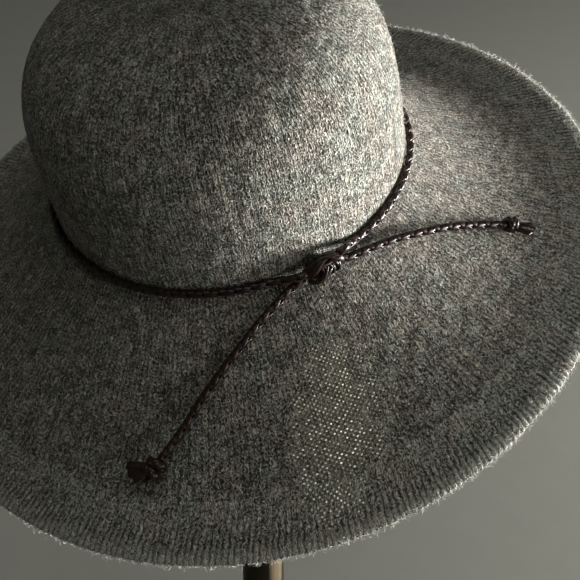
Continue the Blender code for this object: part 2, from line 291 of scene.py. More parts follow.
# Worn place on the brim, where pin-holes between the stitches glow with painted light
# that stands in for light coming through: its middle in the hat's own frame, which way its
# long side lies, its half sizes, its colours, how strongly its holes glow, how ragged its edge is and how
# steeply it falls outwards.
THIN_MIDDLE, THIN_TURN, THIN_SIZES = (0.0465, -0.1440), math.radians(-101.0), (0.040, 0.018)
THIN_PAINTED_GLOW, THIN_GROUND = (1.0, 0.96, 0.80, 1), (0.60, 0.55, 0.43, 1)
THIN_PAINTED_GLOW_STRENGTH, THIN_EDGE_SIZE, THIN_FALL = 1.15, 0.010, -0.45
UNLIT = (0.0, 0.0, 0.0, 1)


def thin_place(start, place, stitches):
    """How thin the cloth is worn, and the painted glow of the pin-holes between its stitches there."""
    height = float(brim_height(np.hypot(*THIN_MIDDLE), math.atan2(*THIN_MIDDLE[::-1])))
    middle = moved_by(seat, np.array([*THIN_MIDDLE, height]))
    turn = np.array(seat)[:3, :3]
    along = turn @ (math.cos(THIN_TURN), math.sin(THIN_TURN), THIN_FALL)
    across = turn @ (-math.sin(THIN_TURN), math.cos(THIN_TURN), 0.0)
    offset = start.vector("SUBTRACT", place, tuple(middle))
    along = along / np.linalg.norm(along)
    length = start.vector("DOT_PRODUCT", offset, tuple(along / THIN_SIZES[0]), "Value")
    width = start.vector("DOT_PRODUCT", offset, tuple(across / THIN_SIZES[1]), "Value")
    reach = (length * length + width * width).root()
    ragged = start.noise(place, 1 / THIN_EDGE_SIZE, 2.0)
    thin = (1.35 - reach * 0.95 + (ragged - 0.5) * 1.6).limited()

    # Holes, each with a painted glow. One in each stitch and one at each corner, some far brighter than
    # others.
    flat = start.vector("MULTIPLY", stitches, (1.0, 1.0, 0.0))
    hole_glow = 0.0
    for shift in (0.0, 0.5):
        moved = start.vector("ADD", flat, (shift, shift, 2 * shift))
        cell = start.vector("FLOOR", moved)
        chance = start.node("TexWhiteNoise", {"noise_dimensions": "3D"}, {"Vector": cell})
        distance = start.vector("DISTANCE", start.vector("FRACTION", moved), (0.5, 0.5, 0.0), "Value")
        hole = (1.35 - distance * 6.8).limited() * (chance ** 2.4 * 0.92 + 0.08)
        hole_glow = start.math("MAXIMUM", hole, hole_glow)
    return thin, hole_glow * thin


def wool(name, stitch_depth, brown, ribbed=0.0, lightness=0.0, thin=False):
    """Knitted wool with stitches, ribs as asked, crossing fibres and two mixed tones."""
    material, shader, start = new_material(name, 0.92, 0.18)
    shader.inputs["Sheen Weight"].default_value = WOOL_SHEEN
    shader.inputs["Sheen Roughness"].default_value = WOOL_SHEEN_ROUGHNESS
    place = start.node("TexCoord", output=3)

    # Stitches. Across, each is two legs with a groove between, and along, one loop.
    stitches = start.node("UVMap", {"uv_map": "stitches"})
    bend = start.noise(place, 1 / BEND_SIZE, 1.0, output=1)
    split = start.node("SeparateXYZ", inputs={0: start.moved(stitches, bend, STITCH_BEND + ribbed * 3)})
    course = split.also(1)
    side = abs(start.math("FRACT", split) - 0.5) * 2
    leg = (side * math.pi).sine()
    stitch = leg * (course + side * 0.9).wave()
    rib = leg * ribbed + stitch * (1 - ribbed)
    column = start.node("SeparateXYZ", inputs={0: start.moved(stitches, bend, COLUMN_BEND)}).wave()

    # Fibres. Two layers of short curled ones, a few long hairs in patches, and specks.
    curl = start.noise(place, 1 / CURL_SIZE, 0.0, output=1)
    curled = start.moved(place, curl, FIBRE_CURL)
    nap = start.noise(curled, 1 / FIBRE_SIZE, 0.0)
    line = (1 - abs(nap - 0.5) * FIBRE_SHARPNESS).limited()
    lower = start.noise(start.vector("ADD", curled, (0.31, 0.17, 0.53)), 1 / (FIBRE_SIZE * 0.75), 0.0)
    lower_line = (1 - abs(lower - 0.5) * FIBRE_SHARPNESS).limited()
    hair = start.noise(start.moved(place, curl, HAIR_CURL), 1 / HAIR_SIZE, 1.0)
    cloud = start.noise(place, 1 / CLOUD_SIZE, 1.0)
    long_hair = (1 - abs(hair - 0.46) * 26).limited() * ((cloud - 0.44) * 8).limited()
    pepper = start.noise(place, 1 / PEPPER_SIZE, 0.0)

    # Height and lightness. Both follow the stitches and the fibres that lie on them: the lighter fibres
    # are the yarn's own, and where the cloth sinks, in the grooves between legs and wales, it is painted
    # darker as shade.
    height = rib * stitch_depth + line * 0.5 + lower_line * 0.35 + long_hair * 0.3
    light = (rib * (0.26 + ribbed) - ribbed * 0.5 + line * 0.62 + lower_line * 0.34 + long_hair * 0.35
             + (pepper - 0.5) * (0.9 + ribbed * 2.0) + (cloud - 0.5) * 0.7 + (column - 0.6) * 0.30
             - 0.03 + lightness)
    if ribbed:
        # Towards the hem's fold, painted shade darkens the grooves between the ribs, the rib crests get a
        # painted highlight, and the fold itself is painted paler as if lit.
        rim = ((course - 3.6) * 0.24 + (cloud - 0.5) * 2).limited()
        groove_shade = ((1 - column) * 1.6 - 0.25).limited() * (cloud * 2.2 - 0.35).limited()
        fold_highlight = ((course - 7.0) * 0.6).limited()
        light = light * (1 - groove_shade * rim * 0.9) + column * rim * 0.12 + fold_highlight * 0.42 - rim * 0.07
    mottle = start.noise(place, 1 / MOTTLE_SIZE, 2.0)
    tint = start.mixed(((mottle - 0.5) * 6 + brown).limited(), WOOL_GREEN, WOOL_BROWN)
    if thin:
        worn, hole_glow = thin_place(start, place, start.moved(stitches, bend, HOLE_BEND))
        tint = start.mixed(worn * 0.85, tint, THIN_GROUND)
        # In the worn place the holes are painted light: lighter in the base colour and glowing by
        # emission, standing in for light that shines through the cloth.
        light = light * (1 - worn * 0.45) + hole_glow * 0.6 + worn * 0.37
        shader.inputs["Emission Strength"].default_value = THIN_PAINTED_GLOW_STRENGTH
        drive(start, shader, Emission_Color=start.mixed(hole_glow, UNLIT, THIN_PAINTED_GLOW))
    shade = light.limited()
    colour = start.mixed(shade * shade * 0.4 + shade * 0.6, WOOL_DARK, tint)
    bump = start.node("Bump", {}, {"Strength": WOOL_BUMP, "Distance": WOOL_BUMP_DEPTH, "Height": height})
    drive(start, shader, Base_Color=colour, Normal=bump)
    return material


# Crown. The wall of stitches rises almost straight, rolls over at the top and closes
# on a flat round top, where pairs of stitches are knitted together.
COURSE, CROWN_WALES, CROWN_TOP_RADIUS = 0.00242, 220, 0.070
RIB_RELIEF, FELT_RELIEF, CLOTH_SINK, CENTRE_HOLE = 0.00010, 0.00016, 0.0001, 0.0004
FELT_SWELL, FELT_DIMPLE = 0.011, 0.0052


def relief(turns, rows, wales, depth, slant):
    """How far the wales stand out, from a groove at -depth to 0, by row and column."""
    place = wales * turns / (2 * math.pi) + slant * np.arange(rows)[:, None]
    return -depth * (1 - np.abs(np.sin(math.pi * place)) ** 0.8)


def fade(rows, first, last):
    """1 on the rows between, and 0 at an edge where the cloth meets its next piece."""
    row = np.arange(rows)
    return np.clip(np.minimum(row / first, (rows - 1 - row) / last), 0, 1)[:, None]


def turned_cloth(profile, columns, wales, depth, felt, first, last, slant=0.0):
    """Rows of points round the axis from a profile that may change with the angle."""
    turns = np.arange(columns) * 2 * math.pi / columns
    grid = profile(turns)
    edges = fade(len(grid), first, last)
    swell = felt * 0.6 * (wander(grid, FELT_SWELL, 3) + wander(grid, FELT_DIMPLE, 4))
    lift = (relief(turns, len(grid), wales, depth, slant) + swell) * edges - CLOTH_SINK
    return grid + outward(grid) * lift[..., None]


angles = np.radians(np.linspace(0.0, 90.0, 500))
dome_height = CROWN_HEIGHT * np.cos(angles) ** (2 / CROWN_SHOULDER)
dome_radius = crown_radius(dome_height)
outline = np.stack([dome_radius, dome_height], 1)
top_line = outline[dome_radius <= CROWN_TOP_RADIUS]
wall_line = outline[dome_radius >= top_line[-1, 0]]


def crown_profile(line, rows):
    """Rows of points round the crown along a stretch of its outline."""
    steps = even_steps(line, rows)
    return lambda turns: polar(turns[None, :], steps[:, :1], steps[:, 1:])


crown_wool = wool("crown_wool", 0.8, 0.5)
crown_grid = turned_cloth(crown_profile(wall_line, 104), 4 * CROWN_WALES, CROWN_WALES, RIB_RELIEF,
                          FELT_RELIEF, 3, 3)
knit_cloth("hat_crown", crown_grid, CROWN_WALES, COURSE, crown_wool)
top_grid = turned_cloth(crown_profile(top_line, 50), 2 * CROWN_WALES, CROWN_WALES / 2, RIB_RELIEF,
                        FELT_RELIEF, 12, 3)
knit_cloth("hat_crown_top", top_grid, CROWN_WALES / 2, COURSE, crown_wool, strips=1)

# Brim. The stitches go on outwards from the crown's foot, more of them in each band,
# and the cloth flares down and out in a soft bell with a slow wave.
HEM_START = BRIM_RADIUS - HEM_WIDTH
BRIM_WALES = 300


def brim_profile(first, last, rows):
    """Rows of points over the brim between two distances from the axis."""
    radii = np.linspace(first, last, rows)[:, None]

    def profile(turns):
        return polar(turns[None, :], radii, brim_height(radii, turns[None, :]))

    return profile


brim_wool = wool("brim_wool", 0.7, 0.8, thin=True)
brim_grid = turned_cloth(brim_profile(CROWN_RADIUS, HEM_START, 78), 4 * BRIM_WALES, BRIM_WALES, RIB_RELIEF,
                         FELT_RELIEF, 3, 2)
knit_cloth("hat_brim", brim_grid, BRIM_WALES, COURSE, brim_wool)

# Hem. The outer 27 millimetres of the brim are folded under and caught down, so the
# edge is a round double fold with deep ribs across it.
HEM_WALES, HEM_RELIEF, HEM_SLANT, HEM_COURSE = 400, 0.00060, 0.05, 0.0029

# Shape of the hem: how much longer than high its fold is, and over what length the cloth
# gets double. Its ribs' depth, at some of its rows, is a share of HEM_RELIEF.
HEM_FOLD, HEM_STEP = 2.5, 0.002
HEM_RELIEF_ROWS, HEM_RELIEF_SHARES = (0, 12, 20, 27, 36, 47), (0.15, 0.30, 0.65, 1.35, 1.0, 0.3)


def hem_profile(turns):
    """Rows over the hem's top, round its fold and back under it to the single cloth."""
    half = HEM_WALL / 2
    top = np.linspace(HEM_START, BRIM_RADIUS - half * HEM_FOLD, 26)[:, None]
    height = brim_height(top, turns)
    slope, length = brim_slope(top, turns)
    up = np.stack([-slope / length, 1 / length], -1)
    out = np.stack([1 / length, slope / length], -1)
    line = np.stack([np.broadcast_to(top, height.shape), height], -1)
    centre = line[-1] - half * up[-1]
    fold = [centre + half * (math.cos(a) * up[-1] + HEM_FOLD * math.sin(a) * out[-1])
            for a in np.radians(np.linspace(0, 180, 11)[1:-1])]
    thick = WALL + (HEM_WALL - WALL) * np.minimum((top - HEM_START) / HEM_STEP, 1)
    below = (line - thick[..., None] * up)[::-1]
    whole = np.concatenate([line, np.array(fold), below[::2]])
    return polar(turns[None, :], whole[..., 0], whole[..., 1])


hem_wool = wool("hem_wool", 1.0, 0.25, ribbed=0.22, lightness=0.15, thin=True)
hem_depth = HEM_RELIEF * np.interp(np.arange(48), HEM_RELIEF_ROWS, HEM_RELIEF_SHARES)[:, None]
hem_grid = turned_cloth(hem_profile, 4 * HEM_WALES, HEM_WALES, hem_depth, FELT_RELIEF, 2, 2, HEM_SLANT)
knit_cloth("hat_hem", hem_grid, HEM_WALES, HEM_COURSE, hem_wool, slant=HEM_SLANT)

# Inside. The back of the same knitted cloth, one wall's thickness in from the outside.
# It shows under the brim and in the crown, and has no lining.
INSIDE_WALES = 300


def inside_profile(turns):
    """Rows of points under the brim and on up the inside of the crown."""
    radii = np.linspace(HEM_START, CROWN_RADIUS, 40)[:, None]
    height = brim_height(radii, turns)
    slope, length = brim_slope(radii, turns)
    under = polar(turns[None, :], radii + WALL * slope / length, height - WALL / length)
    rise = even_steps(outline[::-1], 70)[1:]
    direction = np.gradient(rise, axis=0)
    direction /= np.linalg.norm(direction, axis=1, keepdims=True)
    inner = rise + WALL * np.stack([-direction[:, 1], direction[:, 0]], 1)
    inner = inner[inner[:, 0] > CENTRE_HOLE]
    crown = polar(turns[None, :], inner[:, :1], inner[:, 1:])
    return np.concatenate([under, crown])


inside_grid = turned_cloth(inside_profile, INSIDE_WALES, INSIDE_WALES, 0.0, FELT_RELIEF, 2, 2)
knit_cloth("hat_inside", inside_grid, INSIDE_WALES, COURSE, crown_wool, strips=2)

# Nap. Loose wool fibres that stand off the cloth, longer and thicker along the hem's
# fold, where the turned edge is handled and rubbed.
FLUFF_DARK, FLUFF_LIGHT, FLUFF_SIZE = (0.30, 0.295, 0.27, 1), (0.90, 0.89, 0.85, 1), 0.0035
FIBRE_STEPS, FIBRE_TAPER = 3, np.array([1.0, 0.95, 0.75, 0.35])
ROOT_DEPTH, TUFT_SPREAD = 0.0002, 0.16

nap_wool, nap_shader, fluff = new_material("loose_wool", 0.95, 0.1)
nap_shader.inputs["Sheen Weight"].default_value = 0.5
fluff_tone = fluff.noise(fluff.node("TexCoord", output=3), 1 / FLUFF_SIZE, 1.0)
drive(fluff, nap_shader, Base_Color=fluff.mixed((fluff_tone * 3 - 1.0).limited(), FLUFF_DARK, FLUFF_LIGHT))


def nap(name, grid, first_row, last_row, count, length, width, seed, tufts=0):
    """Short curled fibres as thin strips, rooted at random on a grid of cloth or on its ribs."""
    rng = np.random.default_rng(seed)
    rows, columns = grid.shape[:2]
    normals = outward(grid)
    spread = np.linalg.norm(grid[:, :, :2], axis=2).mean(1)[first_row:last_row]
    row = rng.choice(np.arange(first_row, last_row), count, p=spread / spread.sum())
    column = rng.integers(0, columns, count)
    if tufts:
        wale = (np.floor(column * tufts / columns + HEM_SLANT * row) + 0.5
                + rng.normal(0, TUFT_SPREAD, count) - HEM_SLANT * row)
        column = np.floor(wale * columns / tufts).astype(int) % columns
    root, normal = grid[row, column], normals[row, column]
    root = root + (grid[row, (column + 1) % columns] - root) * rng.uniform(0, 1, (count, 1))
    side = np.cross(normal, rng.normal(size=(count, 3)))
    side /= np.linalg.norm(side, axis=1, keepdims=True)
    other = np.cross(normal, side)

    # Each fibre sets off its own way, curls to one side and droops, step by step.
    size = length * rng.uniform(0.35, 1.0, count) ** 1.5
    rise = rng.uniform(0.15, 1.25, count)
    curl, droop, heading = rng.normal(0, 0.9, count), rng.uniform(0.1, 0.75, count), np.zeros(count)
    point = root - normal * ROOT_DEPTH
    lines, ways = [point], []
    for step in range(FIBRE_STEPS):
        level = np.cos(heading)[:, None] * side + np.sin(heading)[:, None] * other
        way = np.cos(rise)[:, None] * level + np.sin(rise)[:, None] * normal
        ways.append(way)
        point = point + way * (size / FIBRE_STEPS)[:, None]
        lines.append(point)
        heading = heading + curl
        rise = rise - droop
    lines, ways = np.stack(lines, 1), np.stack(ways + ways[-1:], 1)
    flat = np.cross(ways, (normal + rng.normal(0, 0.7, (count, 3)))[:, None])
    flat /= np.maximum(np.linalg.norm(flat, axis=2, keepdims=True), 1e-9)
    taper = width / 2 * FIBRE_TAPER[None, :, None]
    points = np.stack([lines - flat * taper, lines + flat * taper], 2).reshape(-1, 3)
    fibre, step = np.meshgrid(np.arange(count), np.arange(FIBRE_STEPS), indexing="ij")
    first = fibre * 2 * len(FIBRE_TAPER) + 2 * step
    faces = (first[..., None] + np.array([0, 1, 3, 2])).reshape(-1, 4)
    piece = dress(name, points, faces, nap_wool, "wool", ["hat_body"])

    # For baking, each fibre has a small cell of its own.
    cells = math.ceil(math.sqrt(count))
    corner = np.stack([fibre % cells + 0.25, fibre // cells + 0.25 + 0.15 * step], -1)[:, :, None]
    corner = corner + np.array([[0, 0], [0.5, 0], [0.5, 0.15], [0, 0.15]])
    layer = piece.data.uv_layers.new(name="OFBake")
    layer.uv.foreach_set("vector", (corner / cells).astype(np.float32).ravel())


nap("hat_nap_crown", crown_grid, 1, 103, 8000, 0.0034, 0.00009, 11)
nap("hat_nap_top", top_grid, 1, 49, 1500, 0.0034, 0.00009, 12)
nap("hat_nap_brim", brim_grid, 1, 77, 6500, 0.0050, 0.00010, 13)
nap("hat_nap_hem", hem_grid, 1, 24, 5000, 0.0050, 0.00010, 14, HEM_WALES)
nap("hat_nap_fold", hem_grid, 23, 34, 23000, 0.0043, 0.00015, 15, HEM_WALES)

# Braided cord. Four flat strands of dark brown leather lace are plaited round, two
# each way, into a cord 3.8 millimetres thick that is tied round the crown's foot.
CORD_DIAMETER, BRAID_LAY, BAND_STEP = 0.0038, 0.0154, 0.0010
CLEARANCE, BAND_HEIGHT = 0.0003, 0.003
KNOT_AZIMUTH, KNOT_HEIGHT, KNOT_TILT = math.radians(-61.1), 0.0043, math.radians(8.0)
KNOT_CORE, KNOT_WRAP_RADIUS, KNOT_ENTRY = 0.0090, 0.0039, 0.0024
LACE_REACH, LACE_WEAVE = 0.00120, 0.00030
LACE_HALF_WIDTH, LACE_HALF_THICKNESS, LACE_SQUARENESS = 0.00134, 0.00070, 0.85
LEATHER_DARK, LEATHER_WARM = (0.0030, 0.0018, 0.0016, 1), (0.040, 0.0175, 0.014, 1)
GRAIN_SIZE, BLOTCH_SIZE, GRAIN_DEPTH = 0.0007, 0.006, 0.0003

leather, leather_shader, hide = new_material("braided_leather", specular=0.28)
leather_shader.inputs["Coat Weight"].default_value = 0.30
leather_shader.inputs["Coat Roughness"].default_value = 0.15
hide_place = hide.node("TexCoord", output=3)
grain = hide.noise(hide_place, 1 / GRAIN_SIZE, 3.0)
blotch = hide.noise(hide_place, 1 / BLOTCH_SIZE, 2.0)
drive(hide, leather_shader,
      Base_Color=hide.mixed((blotch * 1.6 - 0.3).limited(), LEATHER_DARK, LEATHER_WARM),
      Roughness=0.32 + grain * 0.16,
      Normal=hide.node("Bump", {}, {"Strength": 0.25, "Distance": GRAIN_DEPTH, "Height": grain}))


def smooth_curve(points, spacing):
    """Points at even steps along a smooth curve through the route's own points."""
    points = np.asarray(points, float)
    ends = np.concatenate([[2 * points[0] - points[1]], points, [2 * points[-1] - points[-2]]])
    t = np.linspace(0, 1, 20, endpoint=False)[:, None]
    fine = [0.5 * (2 * b + (c - a) * t + (2 * a - 5 * b + 4 * c - d) * t ** 2
                   + (3 * b - a - 3 * c + d) * t ** 3)
            for a, b, c, d in zip(ends, ends[1:], ends[2:], ends[3:])]
    fine = np.concatenate(fine + [points[-1:]])
    length = np.linalg.norm(np.diff(fine, axis=0), axis=1).sum()
    return even_steps(fine, max(3, round(length / spacing) + 1))


def follow(points, first_side):
    """Along, side and up directions of a line, turned as little as may be."""
    along = np.gradient(points, axis=0)
    along /= np.linalg.norm(along, axis=1, keepdims=True)
    sides = np.empty_like(along)
    side = np.asarray(first_side, float)
    for step, way in enumerate(along):
        side = side - way * (side @ way)
        side = side / np.linalg.norm(side)
        sides[step] = side
    return along, sides, np.cross(along, sides)


def strip_faces(rings, around, closed_ends=True):
    """Faces of a tube of rings, its ends filled with bands that run from side to side."""
    ring, corner = np.meshgrid(np.arange(rings - 1), np.arange(around), indexing="ij")
    after = (corner + 1) % around
    sides = np.stack([ring * around + corner, ring * around + after,
                      (ring + 1) * around + after, (ring + 1) * around + corner], -1).reshape(-1, 4)
    if not closed_ends:
        return sides
    half = around // 2
    caps = [[k, k + 1, around - 2 - k, around - 1 - k] for k in range(half - 1)]
    low = np.array(caps)[:, ::-1]
    high = np.array(caps) + (rings - 1) * around
    return np.concatenate([sides, low, high])


def joined(parts):
    """Points and faces of several parts as one."""
    counts = np.cumsum([0] + [len(points) for points, _ in parts])
    return (np.concatenate([points for points, _ in parts]),
            np.concatenate([faces + count for (_, faces), count in zip(parts, counts)]))


def flat_section(half_width, half_thickness, squareness, corners=8):
    """Corners of a flat strand's section, an oval that gets squarer under 1."""
    turn = 2 * math.pi * (np.arange(corners) + 0.5) / corners
    wide, thick = np.cos(turn), np.sin(turn)
    return (half_width * np.sign(wide) * np.abs(wide) ** squareness,
            half_thickness * np.sign(thick) * np.abs(thick) ** squareness)


def braid(points, diameter=CORD_DIAMETER, lay=BRAID_LAY, start=0.0):
    """Four strands plaited round a line: their points and faces."""
    along, side, up = follow(points, (0.1, 0.2, 1.0))
    run = np.concatenate([[0], np.cumsum(np.linalg.norm(np.diff(points, axis=0), axis=1))])
    phase = 2 * math.pi * run / lay + start
    size = diameter / CORD_DIAMETER
    wide, thick = flat_section(size * LACE_HALF_WIDTH, size * LACE_HALF_THICKNESS, LACE_SQUARENESS)
    strands = []
    for way, first in ((1, 0.0), (1, math.pi), (-1, 0.0), (-1, math.pi)):
        angle = way * phase + first
        reach = size * (LACE_REACH + way * LACE_WEAVE * np.cos(2 * phase))
        radial = side * np.cos(angle)[:, None] + up * np.sin(angle)[:, None]
        centre = points + radial * reach[:, None]
        heading = np.gradient(centre, axis=0)
        heading /= np.linalg.norm(heading, axis=1, keepdims=True)
        width = np.cross(heading, radial)
        width /= np.linalg.norm(width, axis=1, keepdims=True)
        rings = (centre[:, None] + width[:, None] * wide[None, :, None]
                 + radial[:, None] * thick[None, :, None])
        strands.append((rings.reshape(-1, 3), strip_faces(len(points), len(wide))))
    return joined(strands)


# The knot's frame. X runs along the band to its right, Y in towards the crown, and Z up.
knot_reach = float(crown_radius(np.array(KNOT_HEIGHT))) + CLEARANCE + KNOT_WRAP_RADIUS + CORD_DIAMETER / 2
knot_frame = (Matrix.Translation(polar(KNOT_AZIMUTH, knot_reach, KNOT_HEIGHT).tolist())
              @ Matrix.Rotation(KNOT_AZIMUTH + math.pi / 2, 4, "Z")
              @ Matrix.Rotation(-KNOT_TILT, 4, "Y"))

# The band leaves the knot on both sides, swings in to the crown and runs round its foot.
band_reach = float(crown_radius(np.array(BAND_HEIGHT))) + CLEARANCE + CORD_DIAMETER / 2
near, band_run = KNOT_CORE + CLEARANCE, 2 * CORD_DIAMETER
entries = np.array([[near + step * band_run / 2, 0, KNOT_ENTRY] for step in range(2)])
right_entry = moved_by(knot_frame, entries)
left_entry = moved_by(knot_frame, entries * (-1, 1, 1))
swing = (near + 1.9 * band_run) / band_reach
band_turns = np.linspace(KNOT_AZIMUTH + swing, KNOT_AZIMUTH - swing + 2 * math.pi, 37)
band_route = np.concatenate([right_entry, polar(band_turns, band_reach, BAND_HEIGHT), left_entry[::-1]])
dress("cord_band_braid", *braid(smooth_curve(band_route, BAND_STEP)), leather, "leather", ["cord_band"])

# Free ends of the cord. Each lies loose on the brim, from the knot to a stopper knot of
# two turns, past which the cut ends of the plait's strands splay out.
# Columns: azimuth in degrees, distance from the hat's axis, height over the brim.
LEFT_TAIL = (
    (-67.2, 0.0988, 0.0056), (-69.6, 0.0990, 0.0042), (-72.8, 0.1001, 0.0032), (-77.0, 0.1032, 0.0028),
    (-81.4, 0.1070, 0.0027), (-85.2, 0.1117, 0.0027), (-88.5, 0.1165, 0.0028), (-91.6, 0.1215, 0.0029),
    (-94.3, 0.1270, 0.0030), (-96.8, 0.1328, 0.0032), (-98.8, 0.1390, 0.0035), (-100.6, 0.1452, 0.0041),
    (-102.3, 0.1516, 0.0052), (-104.1, 0.1588, 0.0066),
)
RIGHT_TAIL = (
    (-54.9, 0.0990, 0.0056), (-52.4, 0.0994, 0.0046), (-49.2, 0.1002, 0.0043), (-45.2, 0.1018, 0.0045),
    (-41.0, 0.1041, 0.0048), (-37.0, 0.1070, 0.0051), (-33.2, 0.1106, 0.0054), (-29.7, 0.1147, 0.0056),
    (-26.3, 0.1193, 0.0057), (-23.3, 0.1244, 0.0056), (-20.7, 0.1301, 0.0053), (-18.4, 0.1362, 0.0050),
    (-16.0, 0.1448, 0.0049),
)
LEFT_KNOT_RADIUS, RIGHT_KNOT_RADIUS = 0.0053, 0.0040
WRAP_SHARE, WRAP_TILT, WRAP_PHASE, END_KNOT_LAY, TAIL_STEP = 0.84, 14.0, 900.0, 0.0075, 0.0008
STRAND_WIDTH, STRAND_THICKNESS, STRAND_LENGTH, STRAND_SQUARENESS = 0.0040, 0.0009, 0.0125, 0.6

# Cut strands. Columns: swing to the side and rise in degrees, share of the full length.
LEFT_STRANDS = ((-60, 10, 1.12), (-40, 14, 1.04), (-21, 12, 0.92), (19, 9, 0.66))
RIGHT_STRANDS = ((0, 2, 1.00), (-20, 5, 1.04), (-41, 2, 1.00), (-60, 4, 0.92))


def wraps(places, radius, thickness, lay):
    """Turns of cord round the X axis. Each has a place along it and a tilt in degrees."""
    turns = []
    for place, tilt in places:
        angle = np.linspace(0, 2 * math.pi, 60)
        lean = math.tan(math.radians(tilt))
        line = np.stack([place - lean * radius * np.cos(angle), radius * np.cos(angle),
                         radius * np.sin(angle)], 1)
        turns.append(braid(line, thickness, lay, start=place * WRAP_PHASE))
    return joined(turns)


def cut_strand(swing, rise, share):
    """A flat cut strand that leaves the stopper knot and flares a little."""
    length = STRAND_LENGTH * share
    steps = np.linspace(0, 1, 12)
    line = np.stack([steps * length, 0.0006 * np.sin(steps * 5 + swing),
                     0.0005 * np.sin(steps * 4 + rise)], 1)
    flare = (0.75 + 0.3 * steps)[:, None]
    twist = (0.3 * steps * math.sin(swing))[:, None]
    wide, thick = flat_section(STRAND_WIDTH / 2, STRAND_THICKNESS / 2, STRAND_SQUARENESS)
    wide = wide * flare
    across = wide * np.cos(twist) - thick * np.sin(twist)
    over = wide * np.sin(twist) + thick * np.cos(twist)
    rings = line[:, None] + np.stack([np.zeros_like(across), across, over], -1)
    turn = Matrix.Rotation(math.radians(swing), 4, "Z") @ Matrix.Rotation(-math.radians(rise), 4, "Y")
    return moved_by(turn, rings.reshape(-1, 3)), strip_faces(len(steps), len(thick))


def end_frame(points, reach):
    """Axes at a cord's free end: X along the cord, Z up off the brim."""
    along = Vector(points[-1] - points[-2]).normalized()
    side = Vector((0, 0, 1)).cross(along).normalized()
    up = along.cross(side)
    turned = Matrix((along, side, up)).transposed().to_4x4()
    return Matrix.Translation(Vector(points[-1]) + along * reach) @ turned


for side_name, route, radius, strands in (
        ("left", LEFT_TAIL, LEFT_KNOT_RADIUS, LEFT_STRANDS),
        ("right", RIGHT_TAIL, RIGHT_KNOT_RADIUS, RIGHT_STRANDS)):
    azimuth, reach, lift = np.array(route).T
    azimuth = np.radians(azimuth)
    line = smooth_curve(polar(azimuth, reach, brim_height(reach, azimuth) + lift), TAIL_STEP)
    tail_node, knot_node = f"cord_tail_{side_name}", f"end_knot_{side_name}"
    tail = dress(tail_node + "_braid", *braid(line), leather, "leather", [tail_node])
    thickness = radius * WRAP_SHARE
    turns = [(-thickness * 0.45, WRAP_TILT), (thickness * 0.45, -WRAP_TILT)]
    winding = wraps(turns, radius - thickness / 2, thickness, END_KNOT_LAY)
    knot = joined([winding] + [cut_strand(*strand) for strand in strands])
    knot_place = moved_by(end_frame(line, radius - thickness / 4 + CLEARANCE), knot[0])
    stopper = dress(knot_node + "_braid", knot_place, knot[1], leather, "leather", [knot_node])
    path = moved_by(seat, line)

# Knot. The cord's two ends cross in an overhand knot pulled tight: turns close round
# its middle, and three strands lie over it, one of them hooked round its right end.
KNOT_LAY, KNOT_CORD, KNOT_TUCK, KNOT_STEP = 0.026, 0.0040, 0.0003, 0.0006
KNOT_TURNS = ((-0.0034, 38), (0.0004, 26), (0.0038, 22))

# Strands over the knot, each through a row of points. Columns, in millimetres: along the
# band to its right, in towards the crown, and up.
KNOT_STRANDS = (
    ((-9.4, -0.6, -0.8), (-6.6, -1.8, 1.6), (-3.2, -2.4, 3.7), (0.8, -2.6, 4.8), (4.4, -2.8, 4.6),
     (7.0, -3.0, 3.0), (8.0, -2.8, 0.6), (7.0, -1.6, -1.6)),
    ((-9.0, 0.8, 1.0), (-6.0, 0.2, 3.2), (-2.4, -0.2, 4.4), (1.6, -0.4, 5.0), (5.0, -0.4, 4.2),
     (7.6, 0.2, 2.0)),
    ((-9.2, -1.6, -1.2), (-6.6, -3.4, -2.4), (-3.6, -4.4, -1.6), (-0.6, -4.4, 0.2), (2.0, -3.0, 2.0)),
)
knot_parts = [wraps(KNOT_TURNS, KNOT_WRAP_RADIUS - KNOT_TUCK, KNOT_CORD, KNOT_LAY)]
for strand in KNOT_STRANDS:
    knot_parts.append(braid(smooth_curve(np.array(strand) / 1000, KNOT_STEP), KNOT_CORD, KNOT_LAY))
knot_points, knot_faces = joined(knot_parts)
dress("cord_knot_braid", moved_by(knot_frame, knot_points), knot_faces, leather, "leather", ["cord_knot"])

# Stand. A round tube of aged bronze on a heavy turned foot, with a low domed cap that
# carries the hat. The post shows fine drawn lines, and down one side runs a painted
# highlight, a bright band that stands in for the lamp's reflection.
STAND_HEIGHT, BASE_RADIUS, BASE_THICKNESS, BASE_EDGE = 0.620, 0.085, 0.012, 0.003
POST_RADIUS, CAP_RADIUS, CAP_THICKNESS, CAP_SHOULDER, CAP_DOME = 0.015, 0.040, 0.012, 0.0035, 0.0085
# Bronze colours: a dark one, and a warm one that is both the stains' tone and the colour of the post's
# painted highlight.
BRONZE_DARK, BRONZE_WARM = (0.030, 0.027, 0.019, 1), (0.62, 0.50, 0.34, 1)
# Which way the post's painted highlight faces, how fine the drawn lines are and how big the stains are.
HIGHLIGHT_AZIMUTH, DRAWN_LINE, STAIN_SIZE = math.radians(-47.0), 0.0006, 0.02
EDGE_ROUND, CAP_SHOULDER_ROUND = 0.0008, 0.0025


